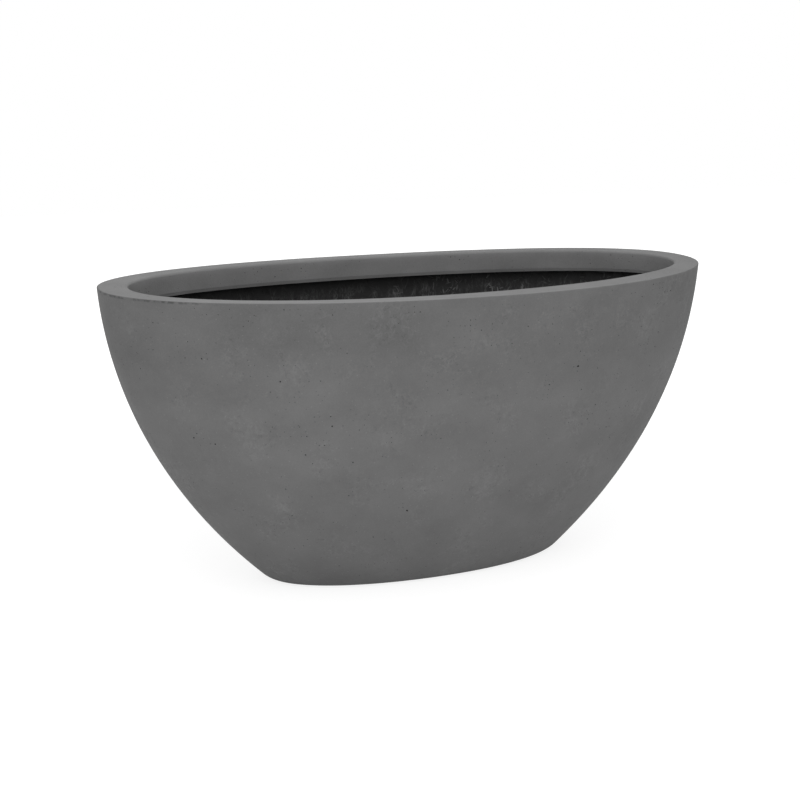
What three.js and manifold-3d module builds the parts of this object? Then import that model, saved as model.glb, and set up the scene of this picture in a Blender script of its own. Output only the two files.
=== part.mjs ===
// An oval bowl planter: a fibre cement shell with a thick returned rim, a hand-laid
// glass-fibre lining bonded inside it, and two rubber bungs in its drain holes.
//
// X runs along the bowl, Y across it and Z up. The origin is the middle of the foot, on the
// ground. Sizes are in millimetres and angles in degrees.

import * as THREE from "three";
import { mergeVertices } from "three/addons/utils/BufferGeometryUtils.js";
import Module from "manifold-3d";

// ---- The bowl's outside ----
const rimLength = 720; // end to end
const rimWidth = 350; // side to side
const rimHeight = 344; // at the middle of a long side
const rimSheer = 3.6; // how much higher the two ends of the rim stand
const rimSquareness = 2.14; // exponent of the oval: 2 is an ellipse, and more is fuller
const footLength = 359; // where the walls' lines would meet the ground
const footWidth = 148;
const footSquareness = 2.08;
const footEdgeRadius = 8.5;
const endRiseAtFoot = 42; // how steeply an end leaves the ground
const endFlareAtRim = 4; // how far off upright an end is at the rim
const endPullAtFoot = 92; // the handles of the curve between them
const endPullAtRim = 167;
const sideFullness = 2.38; // how soon a long side swells out to its full width

// ---- The rim and its return ----
const rimThickness = 31; // the flat top, from outside to inside
const rimReturn = 25; // how deep its smooth inner face reaches down
const rimOuterRadius = 1.6;
const rimInnerRadius = 3;
const returnBandHeight = 4; // the band along the return's lower edge
const returnBandSetback = 1; // how far the band leans back from the face above it
const returnEdgeRadius = 1;

// ---- The walls ----
const wallThickness = 7;
const floorThickness = 12;
const floorFillet = 12;
const liningThickness = 2.5;
const bondGap = 0.3; // between two faces that lie on each other

// ---- The drains ----
const drainSpacing = 170;
const drainDiameter = 25;
const bungFlangeDiameter = 36;
const bungFlangeThickness = 3.2;
const bungFlangeRounding = 1.2;
const bungDishDepth = 0.8; // the shallow dish in the flange's top
const bungWall = 2.4; // the rubber round the hollow stem
const bungRibs = 3;
const bungRibDepth = 1.1;
const bungTaper = 0.6; // how much the ribs shrink, in radius, from the flange down
const bungGroundClearance = 1.2; // the stem stops this far above the ground

// ---- How finely the curves are drawn ----
const ringSteps = 80;
const edgeSteps = 3;
const outerWallSteps = 13;
const innerWallSteps = 9;
const roundSteps = 28;
const flareStep = 1; // the height over which a wall's slope is measured

const returnBottom = rimHeight - rimReturn;
const liningFloor = floorThickness + bondGap;
const liningTop = returnBottom - bondGap;
const seatHeight = liningFloor + liningThickness;

const wasm = await Module();
wasm.setup();

// ---- The oval ----

const endProfile = new THREE.CubicBezierCurve(
  new THREE.Vector2(footLength / 2, 0),
  new THREE.Vector2(footLength / 2, 0).add(handle(endPullAtFoot, endRiseAtFoot)),
  new THREE.Vector2(rimLength / 2, rimHeight).sub(handle(endPullAtRim, 90 - endFlareAtRim)),
  new THREE.Vector2(rimLength / 2, rimHeight),
);

function handle(length, rise) {
  const angle = THREE.MathUtils.degToRad(rise);
  return new THREE.Vector2(length * Math.cos(angle), length * Math.sin(angle));
}

// How far an end stands out at a height, found by halving the stretch of curve that holds it.
function halfLengthAt(height) {
  let low = 0;
  let high = 1;
  for (let i = 0; i < 40; i++) {
    const middle = (low + high) / 2;
    if (endProfile.getPoint(middle).y < height) low = middle;
    else high = middle;
  }
  return endProfile.getPoint((low + high) / 2).x;
}

// The outside wall's oval at a height.
function ovalAt(height) {
  const share = THREE.MathUtils.clamp(height / rimHeight, 0, 1);
  const swell = 1 - (1 - share) ** sideFullness;
  return {
    halfLength: halfLengthAt(height),
    halfWidth: THREE.MathUtils.lerp(footWidth, rimWidth, swell) / 2,
    squareness: THREE.MathUtils.lerp(footSquareness, rimSquareness, share),
  };
}

function signedPower(value, power) {
  return Math.sign(value) * Math.abs(value) ** power;
}

function ovalPoint(oval, angle) {
  const power = 2 / oval.squareness;
  return new THREE.Vector2(
    oval.halfLength * signedPower(Math.cos(angle), power),
    oval.halfWidth * signedPower(Math.sin(angle), power),
  );
}

// The outward direction square to the oval, in plan.
function ovalNormal(oval, angle) {
  const power = 2 - 2 / oval.squareness;
  return new THREE.Vector2(
    signedPower(Math.cos(angle), power) / oval.halfLength,
    signedPower(Math.sin(angle), power) / oval.halfWidth,
  ).normalize();
}

// How far the outside wall moves out for each millimetre up.
function flare(height, angle) {
  const below = Math.max(height - flareStep, 0);
  const above = Math.min(height + flareStep, rimHeight);
  const moved = ovalPoint(ovalAt(above), angle).sub(ovalPoint(ovalAt(below), angle));
  return moved.dot(ovalNormal(ovalAt(height), angle)) / (above - below);
}

// The level distance in from the outside wall to a face that lies `depth` behind it.
function behindWall(depth, height, angle) {
  return depth * Math.hypot(1, flare(height, angle));
}

// A quarter round between a level face and a wall: how far the wall draws in at `rise` above it.
function quarterRound(radius, rise) {
  return radius - Math.sqrt(Math.max(radius ** 2 - (radius - rise) ** 2, 0));
}

// ---- Rings and lofts ----

// One ring round the bowl, taken in from the oval of height `from` and laid at height z.
function ring(from, inset, z) {
  const oval = ovalAt(from);
  return Array.from({ length: ringSteps }, (_, i) => {
    const angle = (2 * Math.PI * i) / ringSteps;
    const drawnIn = typeof inset === "function" ? inset(angle) : inset;
    const place = ovalPoint(oval, angle).addScaledVector(ovalNormal(oval, angle), -drawnIn);
    const lift = rimSheer * (place.x / (rimLength / 2)) ** 2 * (z / rimHeight);
    return new THREE.Vector3(place.x, place.y, z + lift);
  });
}

// Numbers from `from` to `to` in even steps, both included.
function steps(from, to, count) {
  return Array.from({ length: count + 1 }, (_, i) => THREE.MathUtils.lerp(from, to, i / count));
}

// A closed skin through the rings in turn, with its first and last ring filled in.
function loft(rings) {
  const positions = rings.flat().flatMap((point) => point.toArray());
  const index = [];
  const at = (row, i) => row * ringSteps + (i % ringSteps);
  const last = rings.length - 1;
  for (const row of [0, last]) {
    const middle = rings[row].reduce((sum, point) => sum.add(point), new THREE.Vector3());
    positions.push(...middle.divideScalar(ringSteps).toArray());
  }
  const firstMiddle = rings.length * ringSteps;
  for (let i = 0; i < ringSteps; i++) {
    index.push(firstMiddle, at(0, i + 1), at(0, i));
    index.push(firstMiddle + 1, at(last, i), at(last, i + 1));
    for (let row = 0; row < last; row++) {
      const [a, b] = [at(row, i), at(row, i + 1)];
      const [c, d] = [at(row + 1, i), at(row + 1, i + 1)];
      index.push(a, b, d, a, d, c);
    }
  }
  const geometry = new THREE.BufferGeometry();
  geometry.setAttribute("position", new THREE.Float32BufferAttribute(positions, 3));
  return geometry.setIndex(index);
}

// The inside of a layer whose wall lies `depth` behind the outside and whose floor is at `floor`:
// rings from `top` down the wall and round the fillet to the floor.
function innerRings(depth, floor, top) {
  const heights = steps(top, floor + floorFillet, innerWallSteps);
  for (const turn of steps(0, 90, edgeSteps).slice(1)) {
    const angle = THREE.MathUtils.degToRad(turn);
    heights.push(floor + floorFillet * (1 - Math.sin(angle)));
  }
  return heights.map((z) => {
    const rounding = quarterRound(floorFillet, Math.min(z - floor, floorFillet));
    return ring(z, (angle) => behindWall(depth, z, angle) + rounding, z);
  });
}

// ---- Solids that are cut ----

function solidOf(geometry) {
  const bare = geometry.clone();
  bare.deleteAttribute("normal");
  bare.deleteAttribute("uv");
  const merged = mergeVertices(bare, 1e-3);
  return new wasm.Manifold(
    new wasm.Mesh({
      numProp: 3,
      vertProperties: merged.attributes.position.array,
      triVerts: new Uint32Array(merged.index.array),
    }),
  );
}

function geometryOf(solid) {
  const mesh = solid.getMesh();
  const geometry = new THREE.BufferGeometry();
  geometry.setAttribute("position", new THREE.BufferAttribute(mesh.vertProperties, 3));
  return geometry.setIndex(new THREE.BufferAttribute(mesh.triVerts, 1));
}

const drainPlaces = [-drainSpacing / 2, drainSpacing / 2];

// A floor with the drain holes cut through it.
function drilled(geometry) {
  const radius = drainDiameter / 2;
  const reach = seatHeight + drainDiameter; // past both faces of the floor
  let solid = solidOf(geometry);
  for (const x of drainPlaces) {
    const drill = new THREE.CylinderGeometry(radius, radius, 2 * reach, roundSteps);
    drill.rotateX(Math.PI / 2);
    drill.translate(x, 0, 0);
    solid = solid.subtract(solidOf(drill));
  }
  return geometryOf(solid);
}

// ---- The pieces ----

function shell() {
  const rings = [];

  // The foot's rounded edge, and the outside wall up to the rim.
  for (const turn of steps(0, 90, edgeSteps)) {
    const angle = THREE.MathUtils.degToRad(turn);
    const z = footEdgeRadius * (1 - Math.cos(angle));
    rings.push(ring(z, quarterRound(footEdgeRadius, z), z));
  }
  const wallTop = rimHeight - rimOuterRadius;
  for (const z of steps(footEdgeRadius, wallTop, outerWallSteps).slice(1)) {
    rings.push(ring(z, 0, z));
  }

  // Over the rim's outer edge and across its flat top.
  for (const turn of steps(0, 90, edgeSteps).slice(1)) {
    const angle = THREE.MathUtils.degToRad(turn);
    const z = wallTop + rimOuterRadius * Math.sin(angle);
    rings.push(ring(wallTop, rimOuterRadius * (1 - Math.cos(angle)), z));
  }

  // Down the return. Every ring from here to its edge follows the rim's own oval.
  for (const turn of steps(0, 90, edgeSteps)) {
    const angle = THREE.MathUtils.degToRad(turn);
    const z = rimHeight - rimInnerRadius * (1 - Math.cos(angle));
    rings.push(ring(rimHeight, rimThickness - rimInnerRadius * (1 - Math.sin(angle)), z));
  }

  // The band that leans back along the foot of the return, and its rounded lower edge.
  const bandInset = rimThickness - returnBandSetback;
  rings.push(ring(rimHeight, rimThickness, returnBottom + returnBandHeight));
  for (const turn of steps(0, 90, edgeSteps)) {
    const angle = THREE.MathUtils.degToRad(turn);
    const z = returnBottom + returnEdgeRadius * (1 - Math.sin(angle));
    rings.push(ring(rimHeight, bandInset - returnEdgeRadius * (1 - Math.cos(angle)), z));
  }

  // Back out under the return, and down the inside.
  rings.push(...innerRings(wallThickness, floorThickness, returnBottom));
  return drilled(loft(rings));
}

function lining() {
  const outside = innerRings(wallThickness + bondGap, liningFloor, liningTop);
  const inside = innerRings(wallThickness + bondGap + liningThickness, seatHeight, liningTop);
  return drilled(loft([...outside.reverse(), ...inside]));
}

// A bung's outline from the roof of its hollow stem, round the ribs and the flange, to its top.
function bung() {
  const bottom = bungGroundClearance;
  const flangeBottom = seatHeight + bondGap;
  const flangeTop = flangeBottom + bungFlangeThickness;
  const flangeRadius = bungFlangeDiameter / 2;
  const ribRadius = drainDiameter / 2 - bondGap;
  const stemLength = flangeBottom - bottom;
  const ribPitch = stemLength / (bungRibs + 1);
  const stemRadiusAt = (z) => ribRadius - bungRibDepth - (bungTaper * (flangeBottom - z)) / stemLength;
  const hollowRadius = stemRadiusAt(bottom) - bungWall;
  const points = [
    [0, flangeBottom],
    [hollowRadius, flangeBottom],
    [hollowRadius, bottom],
    [stemRadiusAt(bottom), bottom],
  ];
  for (let i = 0; i < bungRibs; i++) {
    const lip = bottom + ribPitch * (i + 1);
    points.push([stemRadiusAt(lip - ribPitch / 2), lip - ribPitch / 2]);
    points.push([stemRadiusAt(lip) + bungRibDepth, lip]);
    points.push([stemRadiusAt(lip + ribPitch / 4), lip + ribPitch / 4]);
  }
  points.push([stemRadiusAt(flangeBottom), flangeBottom]);
  points.push([flangeRadius - bungFlangeRounding, flangeBottom]);
  for (const turn of steps(-90, 90, 2 * edgeSteps).slice(1)) {
    const angle = THREE.MathUtils.degToRad(turn);
    const middle = turn < 0 ? flangeBottom + bungFlangeRounding : flangeTop - bungFlangeRounding;
    points.push([
      flangeRadius - bungFlangeRounding * (1 - Math.cos(angle)),
      middle + bungFlangeRounding * Math.sin(angle),
    ]);
  }
  const dishRadius = flangeRadius - 3 * bungFlangeRounding;
  points.push([dishRadius, flangeTop]);
  points.push([dishRadius - bungDishDepth, flangeTop - bungDishDepth]);
  points.push([0, flangeTop - bungDishDepth]);
  const profile = points.map(([radius, z]) => new THREE.Vector2(radius, z));
  return new THREE.LatheGeometry(profile, roundSteps).rotateX(Math.PI / 2);
}

// ---- The planter ----

const fibreCement = new THREE.MeshStandardMaterial({ color: 0x6b6b6b, roughness: 0.8, metalness: 0 });
const laidLining = new THREE.MeshStandardMaterial({ color: 0x1d1d1e, roughness: 0.6, metalness: 0 });
const blackRubber = new THREE.MeshStandardMaterial({ color: 0x161616, roughness: 0.7, metalness: 0 });

function named(name, geometry, material) {
  const mesh = new THREE.Mesh(geometry, material);
  mesh.name = name;
  return mesh;
}

const planter = new THREE.Group();
planter.add(named("planter_shell", shell(), fibreCement));
planter.add(named("inner_lining", lining(), laidLining));
["drain_bung_left", "drain_bung_right"].forEach((name, i) => {
  const mesh = named(name, bung(), blackRubber);
  mesh.position.x = drainPlaces[i];
  planter.add(mesh);
});

export default planter;
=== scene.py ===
"""Looks for an oval bowl planter: its cast fibre cement shell, the lining laid inside it and its drain bungs.

The file is laid out as an add-on and is run as a script. Lengths are in metres and angles in radians, in the
planter's own frame: X along the bowl, Y across it, Z up, and the origin in the middle of the foot.
"""

import math

import bmesh
import bpy
import numpy as np
from bpy.props import FloatProperty, FloatVectorProperty, IntProperty, PointerProperty
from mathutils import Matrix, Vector, noise
from mathutils.kdtree import KDTree


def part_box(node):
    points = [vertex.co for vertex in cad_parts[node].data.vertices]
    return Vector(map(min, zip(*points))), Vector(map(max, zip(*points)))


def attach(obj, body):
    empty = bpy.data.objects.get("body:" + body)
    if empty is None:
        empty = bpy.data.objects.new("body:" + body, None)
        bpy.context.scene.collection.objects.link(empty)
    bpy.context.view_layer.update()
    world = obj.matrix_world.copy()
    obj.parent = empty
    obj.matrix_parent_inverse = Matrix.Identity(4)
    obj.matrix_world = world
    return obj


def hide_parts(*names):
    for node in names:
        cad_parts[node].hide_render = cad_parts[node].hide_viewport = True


bl_info = {
    "name": "Oval bowl planter",
    "version": (1, 0, 0),
    "blender": (4, 5, 0),
    "location": "3D View > Sidebar > Planter",
    "description": "Builds an oval fibre cement bowl planter round its packed frame",
    "category": "Add Mesh",
}

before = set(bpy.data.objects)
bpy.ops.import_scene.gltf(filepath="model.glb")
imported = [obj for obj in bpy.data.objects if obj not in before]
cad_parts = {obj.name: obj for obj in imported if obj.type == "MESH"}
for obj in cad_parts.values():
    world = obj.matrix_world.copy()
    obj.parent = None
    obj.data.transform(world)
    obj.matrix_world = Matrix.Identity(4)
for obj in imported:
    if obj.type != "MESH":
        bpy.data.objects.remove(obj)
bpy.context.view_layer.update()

MM = 0.001
FULL_TURN = 2 * math.pi

# How finely the curves are drawn.
RING_STEPS = 288
WALL_RINGS = 66
LINING_RINGS = 96
ROUNDING_STEPS = 6
FOOT_EDGE_STEPS = 8
FOOT_RINGS = 12
RIM_TOP_RINGS = 5
RETURN_RINGS = 6
BACK_RINGS = 16
BACK_CORNER_STEPS = 3
SHELL_FLOOR_RINGS = 8
LINING_BACK_FLOOR_RINGS = 6
LINING_FLOOR_RINGS = 26
CURVE_SAMPLES = 4000
FLARE_STEP = 1 * MM
DRILL_STEPS = 96
BUNG_STEPS = 96

# How far from an edge the rings lie that keep it crisp.
FOOT_EDGE_RING = 1.5 * MM
WALL_TOP_RINGS = (2.2 * MM, 1 * MM)
RIM_TOP_RING = 0.7 * MM
BAND_RING = 0.4 * MM
BAND_RING_SETBACK = 0.12  # how much of the band's setback that ring has
UNDERCUT_RING = 1 * MM


# ---- Sizes and colours that a user would change ----


def length(description, millimetres):
    return FloatProperty(description=description, default=millimetres * MM, precision=4, unit="LENGTH")


def turn(description, degrees):
    return FloatProperty(description=description, default=math.radians(degrees), subtype="ANGLE")


def colour(description, grey):
    level = (grey, grey, grey, 1)
    return FloatVectorProperty(description=description, default=level, size=4, min=0, max=1, subtype="COLOR")


class PlanterSize(bpy.types.PropertyGroup):
    """The bowl's own sizes"""

    rim_length: length("The rim's oval from end to end", 720)
    rim_width: length("The rim's oval from side to side", 350)
    rim_height: length("The rim's height at the middle of a long side", 344)
    rim_sheer: length("How much higher the two ends of the rim stand", 3.6)
    rim_wave: length("How far the rim's outer edge rises and falls along its front", 1.0)
    mouth_rise: length("How far the mouth's edge stands up along the back", 1.3)
    mouth_drop: length("How much deeper the return is along the back", 2.5)
    rim_squareness: FloatProperty(description="The rim oval's exponent: 2 is an ellipse", default=2.14)
    foot_length: length("Where the walls' lines meet the ground, from end to end", 359)
    foot_width: length("Where the walls' lines meet the ground, from side to side", 148)
    foot_squareness: FloatProperty(description="The foot oval's exponent", default=2.08)
    foot_edge_radius: length("Rounding of the foot's edge", 8.5)
    end_rise: turn("How steeply an end leaves the ground", 42)
    end_flare: turn("How far off upright an end is at the rim", 4)
    end_pull_at_foot: length("Handle of the end's curve at the foot", 92)
    end_pull_at_rim: length("Handle of the end's curve at the rim", 167)
    side_fullness: FloatProperty(description="How soon a long side reaches its full width", default=2.38)
    rim_thickness: length("The flat top, from outside to inside", 31)
    mouth_shift: length("How far the mouth's oval lies off the rim's middle", 2.3)
    rim_return: length("How deep the rim's smooth inner face reaches down", 25)
    rim_outer_radius: length("Rounding of the rim's outer edge", 1.0)
    rim_inner_radius: length("Rounding of the rim's inner edge", 3)
    band_height: length("The band along the return's lower edge", 4)
    band_setback: length("How far the band leans back from the face above it", 1)
    return_edge_radius: length("Rounding of the return's lower edge", 1)
    wall: length("Thickness of the cast wall", 7)
    floor: length("Thickness of the cast floor", 12)
    floor_fillet: length("Rounding between floor and wall, inside", 12)
    lining: length("Thickness of the laid lining", 2.5)
    bond_gap: length("Gap between two faces that lie on each other", 0.3)
    drain_diameter: length("Diameter of a drain hole", 25)


class PlanterFinish(bpy.types.PropertyGroup):
    """Colours of the finishes, and how rough the hand work is"""

    cement: colour("Dry fibre cement", 0.153)
    cement_rim: colour("The trowelled rim and its return", 0.188)
    cement_pale: colour("Lime bloom that dries on the cement", 0.215)
    # Painted shade that the voids, pinholes and nicks are darkened with
    hollow_shade: colour("Inside an air void", 0.020)
    unevenness: length("How far the cast face wanders in", 0.25)
    void_count: IntProperty(description="How many air voids to try, all round", default=1700)
    resin: colour("Black pigmented resin of the lining", 0.012)
    resin_worn: colour("Resin that barely covers its glass", 0.105)
    bare_glass: colour("Strands that no resin covers", 0.24)
    strand_count: IntProperty(description="Glass strands that stand proud", default=12000)
    rubber: colour("Black rubber of the bungs", 0.016)
    rubber_bloom: colour("Grey bloom on the rubber", 0.038)
    seed: IntProperty(description="Start of the random draws", default=7)


class PlanterStage(bpy.types.PropertyGroup):
    """The studio: camera, lamps and floor"""

    camera_azimuth: turn("Round from the front, towards the right", -22.6)
    camera_elevation: turn("Above the horizon", 14.34)
    camera_distance: length("From the middle of the bowl", 1677.6)
    camera_target: length("Height of the middle of the bowl", 171.9)
    aim_right: length("The view's middle, to the right of the target", -16.5)
    aim_up: length("The view's middle, above the target", 23.02)
    lens: FloatProperty(description="Focal length on a 36 mm sensor", default=64.39)
    floor: colour("Studio floor", 0.78)


# ---- The bowl's form ----


def signed_power(value, power):
    return np.sign(value) * np.abs(value) ** power


def unit(angle):
    return np.array([math.cos(angle), math.sin(angle)])


def normalised(vectors):
    return vectors / np.maximum(np.linalg.norm(vectors, axis=-1, keepdims=True), 1e-12)


def quarter_round(radius, rise):
    """How far a quarter round draws a wall in at a height above the level face that it starts from."""
    return radius - np.sqrt(np.maximum(radius**2 - (radius - np.minimum(rise, radius)) ** 2, 0))


def even_steps(path, values, count):
    """Splits a path of points into even steps, and gives the value at each end of them."""
    walked = np.concatenate([[0], np.linalg.norm(np.diff(path, axis=0), axis=-1).cumsum()])
    return np.interp(np.linspace(0, walked[-1], count + 1), walked, values)


WAVE_TURN = 1.8  # the mouth's edge moves this less 1 times as far as the rim's outer edge, the other way


class Hull:
    """The outside of the bowl: one oval for each height. Heights and angles may be arrays."""

    def __init__(self, size):
        self.size = size
        foot = np.array([size.foot_length / 2, 0])
        rim = np.array([size.rim_length / 2, size.rim_height])
        near_foot = foot + size.end_pull_at_foot * unit(size.end_rise)
        near_rim = rim - size.end_pull_at_rim * unit(math.pi / 2 - size.end_flare)
        t = np.linspace(0, 1, CURVE_SAMPLES)[:, None]
        lower = (1 - t) ** 3 * foot + 3 * (1 - t) ** 2 * t * near_foot
        upper = 3 * (1 - t) * t**2 * near_rim + t**3 * rim
        self.end_out, self.end_up = (lower + upper).T

        # Angles of even steps round the bowl, measured at its half height.
        fine = np.linspace(0, FULL_TURN, CURVE_SAMPLES)
        self.angles = even_steps(self.edge(size.rim_height / 2, fine), fine, RING_STEPS)[:-1]

    def climb(self, low, high, count):
        """Heights from low to high, in even steps along the curve of an end."""
        between = (self.end_up >= low) & (self.end_up <= high)
        curve = np.stack([self.end_out, self.end_up], axis=-1)[between]
        heights = even_steps(curve, self.end_up[between], count)
        heights[[0, -1]] = low, high
        return heights

    def oval(self, height):
        size = self.size
        up = np.clip(height / size.rim_height, 0, 1)
        swell = 1 - (1 - up) ** size.side_fullness
        half_length = np.interp(height, self.end_up, self.end_out)
        half_width = (size.foot_width + (size.rim_width - size.foot_width) * swell) / 2
        squareness = size.foot_squareness + (size.rim_squareness - size.foot_squareness) * up
        return half_length, half_width, squareness

    def edge(self, height, angle):
        half_length, half_width, squareness = self.oval(height)
        along = half_length * signed_power(np.cos(angle), 2 / squareness)
        across = half_width * signed_power(np.sin(angle), 2 / squareness)
        return np.stack([along, across], axis=-1)

    def outward(self, height, angle):
        """The level direction square to the oval."""
        half_length, half_width, squareness = self.oval(height)
        along = signed_power(np.cos(angle), 2 - 2 / squareness) / half_length
        across = signed_power(np.sin(angle), 2 - 2 / squareness) / half_width
        return normalised(np.stack([along, across], axis=-1))

    def flare(self, height, angle):
        """How far the wall moves out for each metre up."""
        below = np.maximum(height - FLARE_STEP, 0)
        above = np.minimum(height + FLARE_STEP, self.size.rim_height)
        moved = self.edge(above, angle) - self.edge(below, angle)
        return (moved * self.outward(height, angle)).sum(axis=-1) / (above - below)

    def place(self, height, inset, z, angle):
        """Points drawn in by inset from the oval of a height, and laid at z."""
        inset = np.asarray(inset)[..., None]
        plan = self.edge(height, angle) - self.outward(height, angle) * inset
        end_share = plan[..., 0] / (self.size.rim_length / 2)
        up = z / self.size.rim_height
        front = np.sin(angle) * np.cos(angle) * (1 - np.sin(angle))
        wave = front * (1 - WAVE_TURN * inset[..., 0] / self.size.rim_thickness)
        lift = self.size.rim_sheer * end_share**2 * up + self.size.rim_wave * wave * up**2
        return np.concatenate([plan, (z + lift)[..., None]], axis=-1)

    def inside(self, depth, floor, z, angle):
        """Points on the inner face of a layer: depth behind the outside, with its floor at a height."""
        inset = depth * np.hypot(1, self.flare(z, angle))
        inset = inset + quarter_round(self.size.floor_fillet, np.asarray(z) - floor)
        return self.place(z, inset, z, angle)


def lining_floor(size):
    return size.floor + size.bond_gap


def lining_seat(size):
    return lining_floor(size) + size.lining


def arc_turns(steps=ROUNDING_STEPS):
    return np.linspace(0, math.pi / 2, steps + 1)


def disc_rings(edge, count):
    """Rings that shrink from a level edge towards its middle, outermost first."""
    shares = np.linspace(1, 0, count + 1)[1:-1]
    middle = edge.mean(axis=0)
    return [middle + (edge - middle) * part for part in shares]


def inner_rings(hull, depth, floor, top, count=BACK_RINGS, corner_steps=BACK_CORNER_STEPS):
    """Rings down the inner face of a layer and round the fillet to its floor."""
    fillet = hull.size.floor_fillet
    heights = list(hull.climb(floor + fillet, top, count)[::-1])
    heights += [floor + fillet * (1 - math.sin(bend)) for bend in arc_turns(corner_steps)[1:]]
    return [hull.inside(depth, floor, np.full(RING_STEPS, z), hull.angles) for z in heights]


# ---- Mesh building ----


def closed_grid(rings):
    """Points and faces of a closed skin through rings of points, with a fan in its first and last ring."""
    rings = np.array(rings)
    ring_count, steps = rings.shape[:2]
    points = np.vstack([rings.reshape(-1, 3), rings[0].mean(axis=0), rings[-1].mean(axis=0)])
    first_middle = ring_count * steps
    last_ring = (ring_count - 1) * steps
    faces = []
    for i in range(steps):
        j = (i + 1) % steps
        faces.append((first_middle, j, i))
        faces.append((first_middle + 1, last_ring + i, last_ring + j))
        for low in range(0, last_ring, steps):
            faces.append((low + i, low + j, low + steps + j, low + steps + i))
    return points, faces


def linked(name, data):
    """A new object in the scene."""
    made = bpy.data.objects.new(name, data)
    bpy.context.scene.collection.objects.link(made)
    return made


def add_object(name, points, faces, material, **marks):
    """Adds a mesh object. Each mark is a number for every point, kept under its own name for the material."""
    mesh = bpy.data.meshes.new(name)
    mesh.from_pydata([tuple(point) for point in points], [], [tuple(face) for face in faces])
    mesh.materials.append(material)
    for mark, values in marks.items():
        mesh.attributes.new(mark, "FLOAT", "POINT").data.foreach_set("value", values)
    return linked(name, mesh)


def smooth_shaded(piece, sharp_over=math.radians(38)):
    mesh = piece.data
    mesh.polygons.foreach_set("use_smooth", [True] * len(mesh.polygons))
    mesh.set_sharp_from_angle(angle=sharp_over)
    mesh.update()


def wander(points, swell, offset):
    """Smooth noise from -1 to 1 at each point. One swell of it is about as long as swell."""
    flat = points.reshape(-1, 3) / swell + offset
    values = np.array([noise.noise(Vector(point)) for point in flat])
    return values.reshape(points.shape[:-1])


def grid_normals(rings):
    """Unit normals of a grid of rings, on its outer side."""
    along = np.roll(rings, -1, axis=1) - np.roll(rings, 1, axis=1)
    up = np.gradient(rings, axis=0)
    return normalised(np.cross(along, up))


def bung_middles():
    """Where the two bungs stand, from the frame."""
    middles = []
    for node in ("drain_bung_left", "drain_bung_right"):
        low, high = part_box(node)
        middles.append((low + high) / 2)
    return middles


def drill_drains(piece, size):
    """Cuts the two drain holes through a piece."""
    bores = bmesh.new()
    radius = size.drain_diameter / 2
    for middle in bung_middles():
        made = bmesh.ops.create_cone(
            bores,
            cap_ends=True,
            segments=DRILL_STEPS,
            radius1=radius,
            radius2=radius,
            depth=4 * lining_seat(size),
        )
        bmesh.ops.translate(bores, verts=made["verts"], vec=(middle.x, middle.y, 0))
    mesh = bpy.data.meshes.new("drain_bores")
    bores.to_mesh(mesh)
    bores.free()
    cutter = linked("drain_bores", mesh)
    cut = piece.modifiers.new("drains", "BOOLEAN")
    cut.operation = "DIFFERENCE"
    cut.solver = "EXACT"
    cut.object = cutter
    depsgraph = bpy.context.evaluated_depsgraph_get()
    drilled = bpy.data.meshes.new_from_object(piece.evaluated_get(depsgraph))
    piece.modifiers.clear()
    piece.data = drilled
    bpy.data.objects.remove(cutter)


# ---- The cast shell ----


def shell_rings(hull):
    """The shell's rings: out under the foot, up, over the rim, down inside and in across the floor.

    With them come three counts of rings: those level under the foot, those before the rim's flat top, and
    those before the undercut, where the cast face ends.
    """
    size = hull.size
    rings = []

    def lay(inset, z, height=size.rim_height):
        ring = hull.place(height, inset, np.full(RING_STEPS, z), hull.angles)
        if height == size.rim_height:
            inward = inset / size.rim_thickness
            down = (size.rim_height - z) / size.rim_return
            back = np.maximum(np.sin(hull.angles), 0)
            ring[:, 0] += size.mouth_shift * inward
            ring[:, 2] += back * inward * (size.mouth_rise - size.mouth_drop * down)
        rings.append(ring)

    # Under the foot, with one ring close to its edge so that the edge stays crisp.
    foot_edge = size.foot_edge_radius
    lay(foot_edge + FOOT_EDGE_RING, 0, 0)
    rings[:0] = disc_rings(rings[0], FOOT_RINGS)[::-1]
    level_count = len(rings)

    # Round the foot's edge and up the wall.
    for bend in arc_turns(FOOT_EDGE_STEPS):
        z = foot_edge * (1 - math.cos(bend))
        lay(quarter_round(foot_edge, z), z, z)
    wall_top = size.rim_height - size.rim_outer_radius
    lower, upper = (wall_top - below for below in WALL_TOP_RINGS)
    for z in (*hull.climb(foot_edge, lower, WALL_RINGS)[1:], upper, wall_top):
        lay(0, z, z)

    # Over the rim.
    outer, inner = size.rim_outer_radius, size.rim_inner_radius
    for bend in arc_turns()[1:]:
        lay(outer * (1 - math.cos(bend)), wall_top + outer * math.sin(bend), wall_top)
    wall_count = len(rings)
    flat_end = size.rim_thickness - inner
    for inset in np.linspace(outer + RIM_TOP_RING, flat_end - RIM_TOP_RING, RIM_TOP_RINGS):
        lay(inset, size.rim_height)
    for bend in arc_turns():
        lay(flat_end + inner * math.sin(bend), size.rim_height - inner * (1 - math.cos(bend)))

    # Down the return to its band, which leans back, and round the lower edge.
    bottom = size.rim_height - size.rim_return
    band_top = bottom + size.band_height
    for z in (*np.linspace(size.rim_height - inner, band_top + BAND_RING, RETURN_RINGS)[1:], band_top):
        lay(size.rim_thickness, z)
    edge = size.return_edge_radius
    band_inset = size.rim_thickness - size.band_setback
    lay(size.rim_thickness - BAND_RING_SETBACK * size.band_setback, band_top - BAND_RING)
    for bend in arc_turns():
        lay(band_inset - edge * (1 - math.cos(bend)), bottom + edge * (1 - math.sin(bend)))
    cast_count = len(rings)

    # Out under the return, down the back of the wall and across the floor.
    lay(band_inset - edge - UNDERCUT_RING, bottom)
    rings += inner_rings(hull, size.wall, size.floor, bottom)
    rings += disc_rings(rings[-1], SHELL_FLOOR_RINGS)
    return np.array(rings), level_count, wall_count, cast_count


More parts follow.
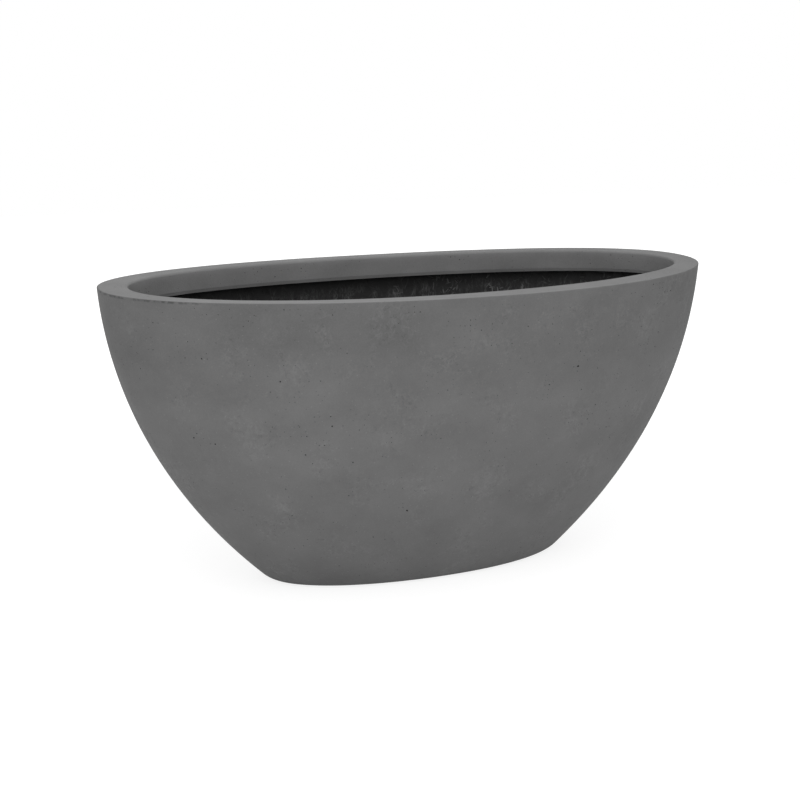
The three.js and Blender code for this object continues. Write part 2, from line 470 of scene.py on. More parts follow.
VOID_SECTION = ((1.0, 0.0), (0.93, 0.3), (0.74, 0.7), (0.42, 0.94))  # share of the reach, share of the depth
VOID_ROOM = 0.82  # how much of a cell a void may fill
VOID_SHADE = 1.6  # painted shade in a void for each share of its depth, up to 1
VOID_MOUTH_STEPS = 10
VOID_ROUGHNESS = 0.16
VOID_DEPTHS, VOID_LENGTHS = (0.55, 0.85), (1.0, 1.5)  # shares of the width
VOID_LEAST, VOID_SPREAD, VOID_MOST = 0.62, 0.21, 2.4  # widths in mm
CLUSTER_REACH = (6, 30)  # mm
CLUSTER_DRAWS = (1, 6)  # voids tried in a cluster: at least the first, and fewer than the second
CELL_LEAST = 1.1 * MM  # a void needs a cell with no shorter side
CELL_SQUARENESS = 0.4  # and with its shortest side over this share of its longest


def cell_room(corners, direction):
    """How far a cell's edge lies from its middle in a direction, in the cell's own plane."""
    reach = math.inf
    for start, end in zip(corners, np.roll(corners, -1, axis=0)):
        side = end - start
        square = np.array([side[1], -side[0]])
        facing = square @ direction
        if facing > 0:
            reach = min(reach, (square @ start) / facing)
    return reach


def cut_void(bm, cell, inside, long, wide, tilt, deep, ragged):
    """Sinks one air void into a four-sided cell, with painted shade inside it that deepens with depth. Its
    mouth is an oval with a ragged factor at each point.
    """
    corners = list(cell.verts)
    middle = cell.calc_center_median()
    normal = cell.normal.copy()

    # The mouth is laid out along the level direction in the cell, or along a side of it where it lies flat.
    level = Vector((-normal.y, normal.x, 0))
    side = (level if level.length > 0.2 else corners[1].co - corners[0].co).normalized()
    rise = normal.cross(side)
    plan = np.array([((v.co - middle).dot(side), (v.co - middle).dot(rise)) for v in corners])
    bearings = np.arctan2(plan[:, 1], plan[:, 0])
    steps = len(ragged)
    angles = bearings[0] + np.arange(steps) * FULL_TURN / steps
    directions = np.stack([np.cos(angles), np.sin(angles)], axis=-1)
    reach = ragged / np.hypot(np.cos(angles - tilt) / (long / 2), np.sin(angles - tilt) / (wide / 2))
    room = np.array([cell_room(plan, direction) for direction in directions])
    reach *= min(1, (VOID_ROOM * room / reach).min())
    rings = []
    for out, down in VOID_SECTION:
        ring = []
        for (x, y), far in zip(directions, reach):
            place = middle + (side * x + rise * y) * (far * out) - normal * (deep * down)
            vertex = bm.verts.new(place, corners[0])
            # Painted shade, deeper towards the void's floor.
            vertex[inside] = min(1.0, VOID_SHADE * down)
            ring.append(vertex)
        rings.append(ring)
    lowest = bm.verts.new(middle - normal * deep, corners[0])
    lowest[inside] = 1.0
    material = cell.material_index
    bm.faces.remove(cell)

    # Each side of the cell meets the stretch of the mouth that faces it.
    marks = np.round(((bearings - bearings[0]) % FULL_TURN) / (FULL_TURN / steps)).astype(int)
    made = []
    for k in range(4):
        first, last = marks[k], marks[(k + 1) % 4] or steps
        mouth = [rings[0][i % steps] for i in range(first, last + 1)]
        made.append(bm.faces.new([corners[k], corners[(k + 1) % 4], *reversed(mouth)]))
    for outer, inner in zip(rings, rings[1:]):
        for i in range(steps):
            j = (i + 1) % steps
            made.append(bm.faces.new((outer[i], outer[j], inner[j], inner[i])))
    for i in range(steps):
        made.append(bm.faces.new((rings[-1][i], rings[-1][(i + 1) % steps], lowest)))
    for face in made:
        face.material_index = material


def void_cells(bm, hull):
    """The four-sided cells of the cast face that show: the outside, the rim and the return."""
    size = hull.size
    band_top = size.rim_height - size.rim_return + size.band_height
    cells = []
    for face in bm.faces:
        if len(face.verts) != 4:
            continue
        middle = face.calc_center_median()
        faces_out = face.normal.x * middle.x + face.normal.y * middle.y > 0
        if (faces_out and middle.z > size.foot_edge_radius) or middle.z > band_top:
            lengths = [edge.calc_length() for edge in face.edges]
            if min(lengths) > max(CELL_LEAST, CELL_SQUARENESS * max(lengths)):
                cells.append(face)
    return cells


def scatter_voids(shell, hull, look):
    """Sinks air voids into the cast face, most of them in loose clusters, and few of them large."""
    bm = bmesh.new()
    bm.from_mesh(shell.data)
    # Each point keeps the painted shade of the void it lies in.
    inside = bm.verts.layers.float.new("void_painted_shade")
    bm.normal_update()
    cells = void_cells(bm, hull)
    middles = [cell.calc_center_median() for cell in cells]
    tree = KDTree(len(cells))
    for i, middle in enumerate(middles):
        tree.insert(middle, i)
    tree.balance()
    areas = np.array([cell.calc_area() for cell in cells])
    rng = np.random.default_rng(look.seed)
    taken = set()
    left = look.void_count
    while left > 0:
        centre = middles[rng.choice(len(cells), p=areas / areas.sum())]
        spread = rng.uniform(*CLUSTER_REACH) * MM
        near = [i for _, i, _ in tree.find_range(centre, spread)]
        for i in rng.permutation(near)[: rng.integers(*CLUSTER_DRAWS)]:
            left -= 1
            wide = min(VOID_LEAST + rng.exponential(VOID_SPREAD), VOID_MOST) * MM
            long = wide * rng.uniform(*VOID_LENGTHS)
            tilt = rng.uniform(0, math.pi)
            if i in taken:
                continue
            taken.add(i)
            ragged = 1 + rng.uniform(-VOID_ROUGHNESS, VOID_ROUGHNESS, VOID_MOUTH_STEPS)
            deep = rng.uniform(*VOID_DEPTHS) * wide
            cut_void(bm, cells[i], inside, long, wide, tilt, deep, ragged)
    bm.to_mesh(shell.data)
    bm.free()


def cast_shell(size, look, material):
    hull = Hull(size)
    rings, level_count, wall_count, cast_count = shell_rings(hull)

    # The cast face wanders in by a fraction of a millimetre, and never out.
    face = rings[level_count:cast_count]
    inward = 0.5 + 0.35 * wander(face, 75 * MM, 3.0) + 0.15 * wander(face, 24 * MM, 11.0)
    depth = look.unevenness * np.clip(inward, 0, 1)
    rings[level_count:cast_count] = face - grid_normals(face) * depth[..., None]

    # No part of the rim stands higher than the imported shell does.
    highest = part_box("planter_shell")[1].z
    rings[..., 2] = np.minimum(rings[..., 2], highest)

    points, faces = closed_grid(rings)
    trowelled, arris = np.zeros((2, len(points)))
    trowelled[wall_count * RING_STEPS : cast_count * RING_STEPS] = 1
    wall_top = wall_count - ROUNDING_STEPS - 1
    arris[(wall_top - 1) * RING_STEPS : (wall_top + 3) * RING_STEPS] = 1
    shell = add_object("cast_shell", points, faces, material, trowelled=trowelled, arris=arris)
    drill_drains(shell, size)
    scatter_voids(shell, hull, look)
    smooth_shaded(shell)
    return shell


# ---- The laid lining ----

RUN_WIDTH = 5 * MM
RUN_LENGTH = 70 * MM
BUNG_SEAT_REACH = 24 * MM  # the relief fades out round a bung's flange
BUNG_SEAT_FADE = 10 * MM
BUNG_SEAT_HEIGHT = 12 * MM


def lining_relief(points):
    """How far the laid face stands in from its true form: swells, lumps of resin and runs down the wall."""
    swells = wander(points, 42 * MM, 5.0)
    lumps = wander(points, 11 * MM, 17.0)
    runs = wander(points / np.array([RUN_WIDTH, RUN_WIDTH, RUN_LENGTH]), 1, 29.0)
    relief = 0.45 * MM * swells + 0.28 * MM * lumps + 0.3 * MM * runs
    for middle in bung_middles():
        away = np.hypot(points[..., 0] - middle.x, points[..., 1] - middle.y)
        near_floor = points[..., 2] < middle.z + BUNG_SEAT_HEIGHT
        fade = np.clip((away - BUNG_SEAT_REACH) / BUNG_SEAT_FADE, 0, 1)
        relief = np.where(near_floor, relief * fade, relief)
    return relief


def strand_points(hull, depth, floor, z, angle):
    """Points on the laid face, with its relief, and the way that faces the inside of the bowl."""
    base = hull.inside(depth, floor, z, angle)
    level = hull.outward(z, angle)
    slope = hull.flare(z, angle)
    facing = normalised(np.concatenate([-level, slope[..., None]], axis=-1))
    return base + facing * lining_relief(base)[..., None], facing


def strand_mesh(spine, facing, width, height, sink):
    """Three-sided strands along spines of points: two edges under the face and a crest over it."""
    count, steps = spine.shape[:2]
    aside = np.cross(facing, normalised(np.gradient(spine, axis=1)))
    taper = np.sin(np.linspace(0.12, 0.88, steps) * math.pi)[None, :, None] ** 0.5
    half = width[:, None, None] * taper / 2
    left = spine - aside * half - facing * sink
    right = spine + aside * half - facing * sink
    crest = spine + facing * height[:, None, None] * taper
    points = np.stack([left, right, crest], axis=2).reshape(-1, 3)
    faces = []
    for strand in range(count):
        start = strand * steps * 3
        for step in range(steps - 1):
            low = start + 3 * step
            for a, b in ((0, 1), (1, 2), (2, 0)):
                faces.append((low + a, low + b, low + 3 + b, low + 3 + a))
        end = start + 3 * (steps - 1)
        faces.append((start + 2, start + 1, start))
        faces.append((end, end + 1, end + 2))
    return points, faces


STRAND_STEPS = 5
STRAND_RUNS = (4, 10)  # mm
STRAND_WIDTHS = (1.0, 2.4)  # mm
STRAND_HEIGHTS = (0.2, 0.6)  # mm
STRAND_SINK = 0.12 * MM  # how far a strand's two edges lie under the face
STRAND_MARGIN = 4 * MM  # strands end this far from the floor and from the lining's top
BEARING_SPREAD = 0.9  # round upright, in radians
BEND_SPREAD = 22  # in radians for each metre of a strand


def laid_strands(hull, look):
    """Glass strands that stand proud of the resin, lying every way on the wall."""
    size = hull.size
    rng = np.random.default_rng(look.seed + 1)
    count = look.strand_count
    depth = size.wall + size.bond_gap + size.lining
    seat = lining_seat(size)
    top = size.rim_height - size.rim_return - STRAND_MARGIN
    z_start = rng.uniform(seat + size.floor_fillet, top, count)
    angle_start = rng.uniform(0, FULL_TURN, count)
    bearing = rng.normal(math.pi / 2, BEARING_SPREAD, count)
    bend = rng.normal(0, BEND_SPREAD, count)
    run = rng.uniform(*STRAND_RUNS, count) * MM

    # How far a strand goes for each radian round the bowl and for each metre of height.
    swing, nudge = 0.01, 0.5 * MM
    here = hull.inside(depth, seat, z_start, angle_start)
    aside = hull.inside(depth, seat, z_start, angle_start + swing)
    above = hull.inside(depth, seat, z_start + nudge, angle_start)
    per_turn = np.linalg.norm(aside - here, axis=-1) / swing
    per_rise = np.linalg.norm(above - here, axis=-1) / nudge
    travelled = np.linspace(-0.5, 0.5, STRAND_STEPS)[None, :] * run[:, None]
    heading = bearing[:, None] + bend[:, None] * travelled
    angle = angle_start[:, None] + travelled * np.cos(heading) / per_turn[:, None]
    climbed = z_start[:, None] + travelled * np.sin(heading) / per_rise[:, None]
    z = np.clip(climbed, seat + STRAND_MARGIN, top)
    spine, facing = strand_points(hull, depth, seat, z, angle)
    width = rng.uniform(*STRAND_WIDTHS, count) * MM
    height = rng.uniform(*STRAND_HEIGHTS, count) * MM

    # Few strands are bare. Most of those lie in clusters towards one end, where the resin ran thin.
    thin_end = np.clip(0.2 + spine[:, 0, 0] / 0.22, 0.12, 1)
    clusters = np.clip(0.55 + 1.1 * wander(spine[:, 0], 20 * MM, 41.0), 0.08, 1)
    bare = thin_end * clusters * rng.random(count)
    points, faces = strand_mesh(spine, facing, width, height, STRAND_SINK)
    return points, faces, np.repeat(bare, 3 * STRAND_STEPS)


def lay_lining(size, look, material):
    hull = Hull(size)
    outer_depth = size.wall + size.bond_gap
    inner_depth = outer_depth + size.lining
    floor, seat = lining_floor(size), lining_seat(size)
    top = size.rim_height - size.rim_return - size.bond_gap
    back = inner_rings(hull, outer_depth, floor, top)
    back += disc_rings(back[-1], LINING_BACK_FLOOR_RINGS)
    front = inner_rings(hull, inner_depth, seat, top, LINING_RINGS, ROUNDING_STEPS)
    front += disc_rings(front[-1], LINING_FLOOR_RINGS)
    front = np.array(front)
    normals = grid_normals(front[1:])
    front[1:] += normals * lining_relief(front[1:])[..., None]
    points, faces = closed_grid([*reversed(back), *front])
    strands, strand_faces, bare = laid_strands(hull, look)
    lining = add_object("laid_lining", points, faces, material)
    drill_drains(lining, size)
    smooth_shaded(lining, math.radians(60))
    fibres = add_object("glass_strands", strands, strand_faces, material, bare=bare)
    smooth_shaded(fibres, math.radians(80))
    return lining, fibres


# ---- The drain bungs ----


def rounded_path(corners, steps=4):
    """A path past corners (radius, height, rounding in mm), with a curve of the rounding's reach at each."""
    path = []
    for i, (radius, height, rounding) in enumerate(corners):
        here = np.array([radius, height])
        if rounding == 0 or i in (0, len(corners) - 1):
            path.append(here)
            continue
        before = np.array(corners[i - 1][:2]) - here
        after = np.array(corners[i + 1][:2]) - here
        start = here + before * min(rounding * MM / np.linalg.norm(before), 0.49)
        end = here + after * min(rounding * MM / np.linalg.norm(after), 0.49)
        for t in np.linspace(0, 1, steps + 1):
            path.append((1 - t) ** 2 * start + 2 * t * (1 - t) * here + t**2 * end)
    return np.array(path)


RIB_COUNT = 3
RIB_DEPTH = 1.1 * MM
STEM_WALL = 2.4 * MM
STEM_TAPER = 0.6 * MM
FLANGE_THICKNESS = 3.2 * MM
DISH_DEPTH = 0.8 * MM


def bung_section(size, bottom, top, flange_radius):
    """Corners of a bung's outline, from the roof of its hollow stem round to the middle of its top."""
    under = top - FLANGE_THICKNESS
    rib_radius = size.drain_diameter / 2 - size.bond_gap
    pitch = (under - bottom) / (RIB_COUNT + 1)

    def stem(z):
        return rib_radius - RIB_DEPTH - STEM_TAPER * (under - z) / (under - bottom)

    hollow = stem(bottom) - STEM_WALL
    corners = [
        (0.2 * MM, under, 0),
        (hollow, under, 1.0),
        (hollow, bottom, 0.5),
        (stem(bottom), bottom, 0.6),
    ]
    for i in range(RIB_COUNT):
        lip = bottom + pitch * (i + 1)
        corners.append((stem(lip - pitch / 2), lip - pitch / 2, 0.5))
        corners.append((stem(lip) + RIB_DEPTH, lip, 0.35))
        corners.append((stem(lip + pitch / 4), lip + pitch / 4, 0.4))
    dish = flange_radius - 3.6 * MM
    dished = top - DISH_DEPTH
    corners += [
        (stem(under), under, 0.5),
        (flange_radius, under, 1.0),
        (flange_radius, top, 1.4),
        (dish, top, 0.8),
        (dish - 0.8 * MM, dished, 0.6),
        (9.2 * MM, dished, 0.3),
        (8.6 * MM, top - 0.35 * DISH_DEPTH, 0.4),
        (7.6 * MM, top - 0.35 * DISH_DEPTH, 0.4),
        (7.0 * MM, dished, 0.3),
        (1.9 * MM, dished, 0.2),
        (1.6 * MM, dished - 0.3 * MM, 0.2),
        (0.2 * MM, dished - 0.3 * MM, 0),
    ]
    return corners


def mould_bung(name, node, size, material):
    low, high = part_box(node)
    middle = (low + high) / 2
    path = rounded_path(bung_section(size, low.z, high.z, (high.x - low.x) / 2))
    angle = np.arange(BUNG_STEPS) * FULL_TURN / BUNG_STEPS
    rings = []
    for radius, z in path:
        along, across = middle.x + radius * np.cos(angle), middle.y + radius * np.sin(angle)
        rings.append(np.stack([along, across, np.full(BUNG_STEPS, z)], axis=-1))
    bung = add_object(name, *closed_grid(rings), material)
    smooth_shaded(bung)
    return bung


# ---- Materials ----


class Value:
    """A number that a shader node puts out. Arithmetic on it adds the Math nodes that work it out."""

    def __init__(self, finish, socket):
        self.finish = finish
        self.socket = socket

    def math(self, operation, left, right):
        return self.finish.add("Math", {0: left, 1: right}, operation=operation)

    def __add__(self, other):
        return self.math("ADD", self, other)

    __radd__ = __add__

    def __sub__(self, other):
        return self.math("SUBTRACT", self, other)

    def __rsub__(self, other):
        return self.math("SUBTRACT", other, self)

    def __mul__(self, other):
        return self.math("MULTIPLY", self, other)

    __rmul__ = __mul__

    def __abs__(self):
        return self.math("ABSOLUTE", self, 0)


class Finish:
    """One material or world, built node by node."""

    def __init__(self, owner):
        self.owner = owner
        owner.use_nodes = True
        self.tree = owner.node_tree
        self.tree.nodes.clear()

    def add(self, kind, inputs=None, output=0, **settings):
        """Adds a node: its settings, then the values or links of its sockets. Returns one of its outputs."""
        node = self.tree.nodes.new("ShaderNode" + kind)
        for name, value in settings.items():
            setattr(node, name, value)
        for name, value in (inputs or {}).items():
            if isinstance(value, Value):
                self.tree.links.new(value.socket, node.inputs[name])
            else:
                node.inputs[name].default_value = value
        return Value(self, node.outputs[output]) if node.outputs else None

    def place(self):
        """Where a point lies on the planter, in metres."""
        return self.add("TexCoord", output="Object")

    def distance(self, place, point):
        return self.add("VectorMath", {0: place, 1: point}, 1, operation="DISTANCE")

    def height(self, place):
        return self.add("SeparateXYZ", {0: place}, 2)

    def stretched(self, place, rise):
        return self.add("VectorMath", {0: place, 1: (1, 1, rise)}, operation="MULTIPLY")

    def noise(self, place, swell, detail, roughness, curl=0.0):
        """Soft noise round 0.5, with swells about as long as swell. Curl draws them out into bent wisps."""
        inputs = {"Vector": place, "Scale": 1 / swell, "Detail": detail}
        inputs |= {"Roughness": roughness, "Distortion": curl}
        return self.add("TexNoise", inputs)

    def cells(self, place, spacing, output="Distance"):
        """Scattered points about spacing apart: the distance to the nearest, in spacings, or its colour."""
        return self.add("TexVoronoi", {"Vector": place, "Scale": 1 / spacing}, output)

    def ramp(self, value, low, high):
        """0 under low, 1 over high, and a soft step between. Low may be over high, which turns it round."""
        inputs = {"Value": value, "From Min": low, "From Max": high}
        return self.add("MapRange", inputs, interpolation_type="SMOOTHSTEP")

    def attribute(self, name):
        return self.add("Attribute", output="Fac", attribute_name=name)

    def mix(self, part, first, second):
        """A colour between two."""
        return self.add("Mix", {0: part, 6: first, 7: second}, 2, data_type="RGBA")

    def scaled(self, tint, by):
        """A colour made lighter or darker by a number."""
        return self.add("VectorMath", {0: tint, "Scale": by}, operation="SCALE")

    def bump(self, height, depth, normal=None):
        """Relief of a depth in metres where height goes from 0 to 1."""
        inputs = {"Height": height, "Distance": depth, "Strength": 1.0}
        if normal is not None:
            inputs["Normal"] = normal
        return self.add("Bump", inputs)

    def surface(self, tint, roughness, specular, relief):
        inputs = {"Base Color": tint, "Roughness": roughness, "Normal": relief}
        inputs["Specular IOR Level"] = specular
        self.put_out(self.add("BsdfPrincipled", inputs), "OutputMaterial")
        return self.owner

    def put_out(self, shader, kind):
        self.add(kind, {"Surface": shader})


PAINTED_LIGHT_MIDDLE = (-0.17, -0.15, 0.345)  # the middle of the painted pool of light on the rim's front
PAINTED_LIGHT_REACH = (0.24, 0.06)  # how far from there the painted light ends, and how far it is full (m)
NICKED = (-0.33, -0.06, 0.346)  # the middle of the arris's nicked stretch
NICKED_REACH = (0.11, 0.05)
WALL_PAINTED_SHADE_BAND = (0.20, 0.33)  # heights between which painted shade darkens the wall towards the rim (m)
RETURN_PAINTED_SHADE_BAND = (0.342, 0.336)  # the same painted shade for the return, downwards
LINING_PAINTED_SHADE_BAND = (0.293, 0.318)  # heights between which painted shade darkens the lining towards the return (m)


def cement_material(look):
    """Grey fibre cement: soft clouds, a fine grain, bloom, wormy marks, pinholes, nicks and voids, with
    painted shade in the hollows and under the rim, and a painted pool of light on the rim's front.
    """
    finish = Finish(bpy.data.materials.new("fibre_cement"))
    place = finish.place()
    flattened = finish.stretched(place, 1.5)
    patches = finish.noise(flattened, 105 * MM, 2, 0.4)
    clouds = finish.noise(flattened, 40 * MM, 3, 0.4)
    mottle = finish.noise(place, 9 * MM, 3, 0.55)
    grain = finish.noise(place, 1.5 * MM, 3, 0.6)
    tone = 1.0 + 0.32 * (patches - 0.5) + 0.26 * (clouds - 0.5) + 0.11 * (mottle - 0.5) + 0.28 * (grain - 0.5)

    # Painted light and shade: the wall darkens in a band towards the rim and is lighter lower down, the
    # return darkens downwards, and a painted pool of light lies on the rim's front.
    trowelled = finish.attribute("trowelled")
    height = finish.height(place)
    painted_light = finish.ramp(finish.distance(place, PAINTED_LIGHT_MIDDLE), *PAINTED_LIGHT_REACH)
    tone = tone + (1 - trowelled) * (0.04 - 0.14 * finish.ramp(height, *WALL_PAINTED_SHADE_BAND))
    tone = tone + trowelled * (0.13 * painted_light - 0.06 * finish.ramp(height, *RETURN_PAINTED_SHADE_BAND))

    # Wormy marks, pale and dark, where the mould's release agent dried in patches.
    marked = finish.ramp(finish.noise(place, 44 * MM, 3, 0.5), 0.46, 0.66) * (1 - trowelled)
    curls = finish.noise(place, 5.2 * MM, 2, 0.55)
    broken = finish.noise(place, 7 * MM, 1, 0.5)
    pale_curls = finish.ramp(abs(curls - 0.50), 0.085, 0.01) * finish.ramp(broken, 0.42, 0.58)
    dark_curls = finish.ramp(abs(curls - 0.62), 0.055, 0.01) * finish.ramp(broken, 0.56, 0.42)
    tone = tone + marked * (0.13 * pale_curls - 0.13 * dark_curls)

    # Pinholes: a few of the cells hold one, and each is under a millimetre wide. Painted shade darkens them.
    pin_distance = finish.cells(place, 6 * MM)
    pin_chance = finish.cells(place, 6 * MM, "Color")
    clusters = finish.noise(place, 45 * MM, 2, 0.5)
    pinholes = finish.ramp(pin_distance, 0.085, 0.045) * finish.ramp(pin_chance + clusters, 1.00, 1.04)

    # Pale specks: grains of sand and ends of fibre that the trowel bared.
    speck_distance = finish.cells(place, 3.5 * MM)
    speck_chance = finish.cells(place, 3.5 * MM, "Color")
    specks = finish.ramp(speck_distance, 0.26, 0.12) * finish.ramp(speck_chance, 0.72, 0.76)

    bloom_patches = finish.ramp(finish.noise(place, 46 * MM, 3, 0.55), 0.54, 0.74)
    bloom_wisps = finish.noise(finish.stretched(place, 0.6), 7 * MM, 4, 0.6)
    bloom = 0.30 * bloom_patches * finish.ramp(bloom_wisps, 0.38, 0.70) + 0.55 * specks

    # The arris is nicked at one end, and painted shade darkens the nicks.
    nicked = finish.ramp(finish.distance(place, NICKED), *NICKED_REACH)
    chips = finish.ramp(finish.noise(place, 6 * MM, 3, 0.6), 0.42, 0.60)
    nicks = finish.attribute("arris") * nicked * chips

    tint = finish.mix(trowelled, look.cement, look.cement_rim)
    tint = finish.mix(bloom, tint, look.cement_pale)
    tint = finish.scaled(tint, tone)
    # Painted shade darkens the voids, then the pinholes and the nicks.
    voids = finish.attribute("void_painted_shade")
    tint = finish.mix(finish.ramp(voids, 0.0, 0.9), tint, look.hollow_shade)
    tint = finish.mix(0.72 * pinholes, tint, look.hollow_shade)
    tint = finish.mix(0.5 * nicks, tint, look.hollow_shade)

    relief = finish.bump(grain, 0.10 * MM)
    relief = finish.bump(mottle, 0.25 * MM, relief)
    relief = finish.bump(1 - pinholes, 0.4 * MM, relief)
    roughness = 0.82 + 0.10 * (clouds - 0.5) + 0.12 * (grain - 0.5)
    return finish.surface(tint, roughness, 0.3, relief)


def resin_material(look):
    """Black resin over chopped glass: glossy where it lies thick, dry and greyer along runs and strands, and
    darkened by painted shade under the return.
    """
    finish = Finish(bpy.data.materials.new("laid_laminate"))
    place = finish.place()
    runs = finish.noise(finish.stretched(place, 0.2), 8 * MM, 4, 0.6)
    dabs = finish.noise(place, 16 * MM, 3, 0.6)
    fibre = finish.noise(finish.stretched(place, 0.35), 2.4 * MM, 3, 0.6, 1.4)
    dry = finish.ramp(runs, 0.38, 0.64) * finish.ramp(dabs, 0.34, 0.60) * finish.ramp(fibre, 0.40, 0.62)
    under_return_shade = finish.ramp(finish.height(place), *LINING_PAINTED_SHADE_BAND)  # painted shade under the return
    tint = finish.mix((0.10 + 0.84 * dry) * (1 - under_return_shade), look.resin, look.resin_worn)
    tint = finish.mix(finish.attribute("bare") * (1 - 0.75 * under_return_shade), tint, look.bare_glass)
    relief = finish.bump(fibre, 0.3 * MM)
    relief = finish.bump(dabs, 0.9 * MM, relief)
    return finish.surface(tint, 0.62 + 0.22 * dry + 0.20 * (dabs - 0.5), 0.35, relief)


def rubber_material(look):
    """Moulded black rubber with a faint bloom and a fine texture from the mould."""
    finish = Finish(bpy.data.materials.new("bung_rubber"))
    place = finish.place()
    bloom = finish.ramp(finish.noise(place, 9 * MM, 4, 0.6), 0.45, 0.8)
    pores = finish.noise(place, 0.5 * MM, 2, 0.5)
    tint = finish.mix(bloom, look.rubber, look.rubber_bloom)
    roughness = 0.62 + 0.16 * bloom + 0.1 * (pores - 0.5)
    return finish.surface(tint, roughness, 0.4, finish.bump(pores, 0.06 * MM))


# ---- The studio ----


def seen_directly(finish):
    """1 on rays from the camera, and on those that a mirror or glass passes on."""
    camera, glossy, passed = (
        finish.add("LightPath", output=name)
        for name in ("Is Camera Ray", "Is Glossy Ray", "Is Transmission Ray")
    )
    return finish.ramp(camera + glossy + passed, 0.0, 1.0)


AMBIENT = 0.73
FLOOR_GLOW = 0.82
FLOOR_SHADE = 0.30
GLOW_START = 0.45  # the floor's shadow is seen inside this distance from the planter's middle (m)
GLOW_END = 1.1
FLOOR_REACH = 4.0
SENSOR = 36  # mm


def floor_material(stage):
    """A white studio floor that keeps a faint shadow."""
    finish = Finish(bpy.data.materials.new("studio_floor"))
    lit = finish.add("BsdfDiffuse", {"Color": stage.floor})
    shaded = finish.add("BsdfDiffuse", {"Color": (FLOOR_SHADE, FLOOR_SHADE, FLOOR_SHADE, 1)})
    away = finish.add("VectorMath", {0: finish.place()}, 1, operation="LENGTH")
    strength = FLOOR_GLOW + (1 - FLOOR_GLOW) * finish.ramp(away, GLOW_START, GLOW_END)
    glow = finish.add("Emission", {"Color": (1, 1, 1, 1), "Strength": strength})
    seen = finish.add("AddShader", {0: shaded, 1: glow})
    shader = finish.add("MixShader", {0: seen_directly(finish), 1: lit, 2: seen})
    finish.put_out(shader, "OutputMaterial")
    return finish.owner


def set_world():
    """White where it shows, and a plain grey light on everything else."""
    world = bpy.data.worlds.new("studio")
    bpy.context.scene.world = world
    finish = Finish(world)
    strength = AMBIENT + (1 - AMBIENT) * seen_directly(finish)
    backdrop = finish.add("Background", {"Color": (1, 1, 1, 1), "Strength": strength})
    finish.put_out(backdrop, "OutputWorld")


# Softboxes round the bowl: name, bearing from the front and height in degrees, and power in watts.
SOFTBOXES = (
    ("high_softbox", -20, 60, 12.0),
    ("low_softbox", -28, 26, 8.5),
)
SOFTBOX_SIDE = 1.6
SOFTBOX_DISTANCE = 2.3
LIT_POINT = Vector((0, 0, 0.2))


def from_the_front(bearing, climb):
    """The direction at a bearing from the front, towards the right, and a climb above the horizon."""
    level = math.cos(climb)
    return Vector((math.sin(bearing) * level, -math.cos(bearing) * level, math.sin(climb)))


def hang_softbox(name, bearing, climb, watts):
    light = bpy.data.lights.new(name, "AREA")
    light.size = SOFTBOX_SIDE
    light.energy = watts
    towards = from_the_front(math.radians(bearing), math.radians(climb))
    lamp = linked(name, light)
    lamp.location = LIT_POINT + towards * SOFTBOX_DISTANCE
    lamp.rotation_euler = towards.to_track_quat("Z", "Y").to_euler()


def set_camera(stage):
    """The photograph's viewpoint, with no shift and no roll."""
    azimuth = stage.camera_azimuth
    back = from_the_front(azimuth, stage.camera_elevation)
    right = Vector((math.cos(azimuth), math.sin(azimuth), 0))
    up = back.cross(right)
    target = Vector((0, 0, stage.camera_target))
    aim = target + right * stage.aim_right + up * stage.aim_up
    data = bpy.data.cameras.new("camera")
    data.lens = stage.lens
    data.sensor_width = SENSOR
    camera = linked("camera", data)
    camera.location = target + back * stage.camera_distance
    camera.rotation_euler = (aim - camera.location).to_track_quat("-Z", "Y").to_euler()
    bpy.context.scene.camera = camera


# ---- Operators ----


def finished(piece, body, slot, *nodes):
    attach(piece, body)
    if nodes:
        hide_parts(*nodes)


class PLANTER_OT_set_stage(bpy.types.Operator):
    """Sets the camera, the softboxes, the white world and the floor"""

    bl_idname = "planter.set_stage"
    bl_label = "Set the stage"

    def execute(self, context):
        stage = context.scene.planter_stage
        context.scene.view_settings.view_transform = "Standard"
        set_camera(stage)
        set_world()
        for softbox in SOFTBOXES:
            hang_softbox(*softbox)
        corners = [(x * FLOOR_REACH, y * FLOOR_REACH, 0) for x, y in ((-1, -1), (1, -1), (1, 1), (-1, 1))]
        floor = add_object("studio_floor", corners, [(0, 1, 2, 3)], floor_material(stage))
        return {"FINISHED"}


class PLANTER_OT_cast_shell(bpy.types.Operator):
    """Casts the fibre cement shell: its walls, rim, return, foot and air voids"""

    bl_idname = "planter.cast_shell"
    bl_label = "Cast the shell"

    def execute(self, context):
        size, look = context.scene.planter_size, context.scene.planter_finish
        shell = cast_shell(size, look, cement_material(look))
        finished(shell, "planter", "fibre_cement", "planter_shell")
        return {"FINISHED"}


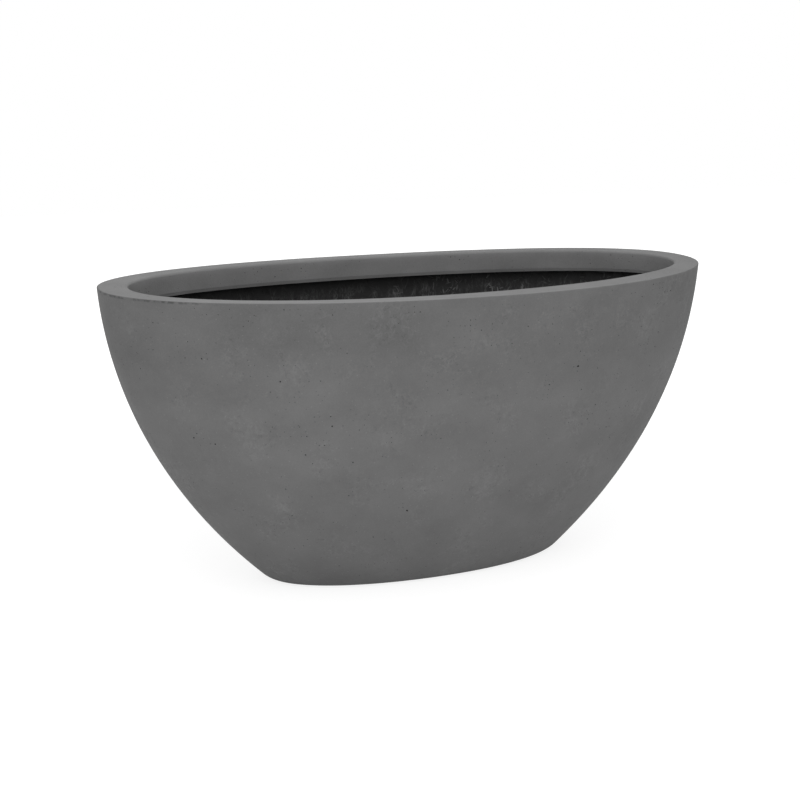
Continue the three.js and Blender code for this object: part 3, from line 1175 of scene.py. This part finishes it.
class PLANTER_OT_lay_lining(bpy.types.Operator):
    """Lays the black glass-fibre lining inside the shell"""

    bl_idname = "planter.lay_lining"
    bl_label = "Lay the lining"

    def execute(self, context):
        size, look = context.scene.planter_size, context.scene.planter_finish
        lining, strands = lay_lining(size, look, resin_material(look))
        finished(lining, "planter", "laid_laminate", "inner_lining")
        finished(strands, "planter", "laid_laminate")
        return {"FINISHED"}


class PLANTER_OT_fit_bungs(bpy.types.Operator):
    """Moulds the two rubber bungs and sets them in the drain holes"""

    bl_idname = "planter.fit_bungs"
    bl_label = "Fit the bungs"

    def execute(self, context):
        size, look = context.scene.planter_size, context.scene.planter_finish
        material = rubber_material(look)
        for side in ("left", "right"):
            node = f"drain_bung_{side}"
            bung = mould_bung(f"rubber_bung_{side}", node, size, material)
            finished(bung, f"{side}_bung", "bung_rubber", node)
        return {"FINISHED"}


class PLANTER_PT_parts(bpy.types.Panel):
    """Lists the planter's pieces in the order in which they are made"""

    bl_idname = "PLANTER_PT_parts"
    bl_label = "Planter"
    bl_space_type = "VIEW_3D"
    bl_region_type = "UI"
    bl_category = "Planter"

    def draw(self, context):
        for operator in OPERATORS:
            self.layout.operator(operator.bl_idname)


GROUPS = {"planter_size": PlanterSize, "planter_finish": PlanterFinish, "planter_stage": PlanterStage}
OPERATORS = (PLANTER_OT_set_stage, PLANTER_OT_cast_shell, PLANTER_OT_lay_lining, PLANTER_OT_fit_bungs)


def register():
    for kind in (*GROUPS.values(), *OPERATORS, PLANTER_PT_parts):
        bpy.utils.register_class(kind)
    for name, group in GROUPS.items():
        setattr(bpy.types.Scene, name, PointerProperty(type=group))


def unregister():
    for name in GROUPS:
        delattr(bpy.types.Scene, name)
    for kind in (PLANTER_PT_parts, *reversed(OPERATORS), *GROUPS.values()):
        bpy.utils.unregister_class(kind)


def main():
    register()
    bpy.ops.planter.set_stage()
    bpy.ops.planter.cast_shell()
    bpy.ops.planter.lay_lining()
    bpy.ops.planter.fit_bungs()


if __name__ == "__main__":
    main()
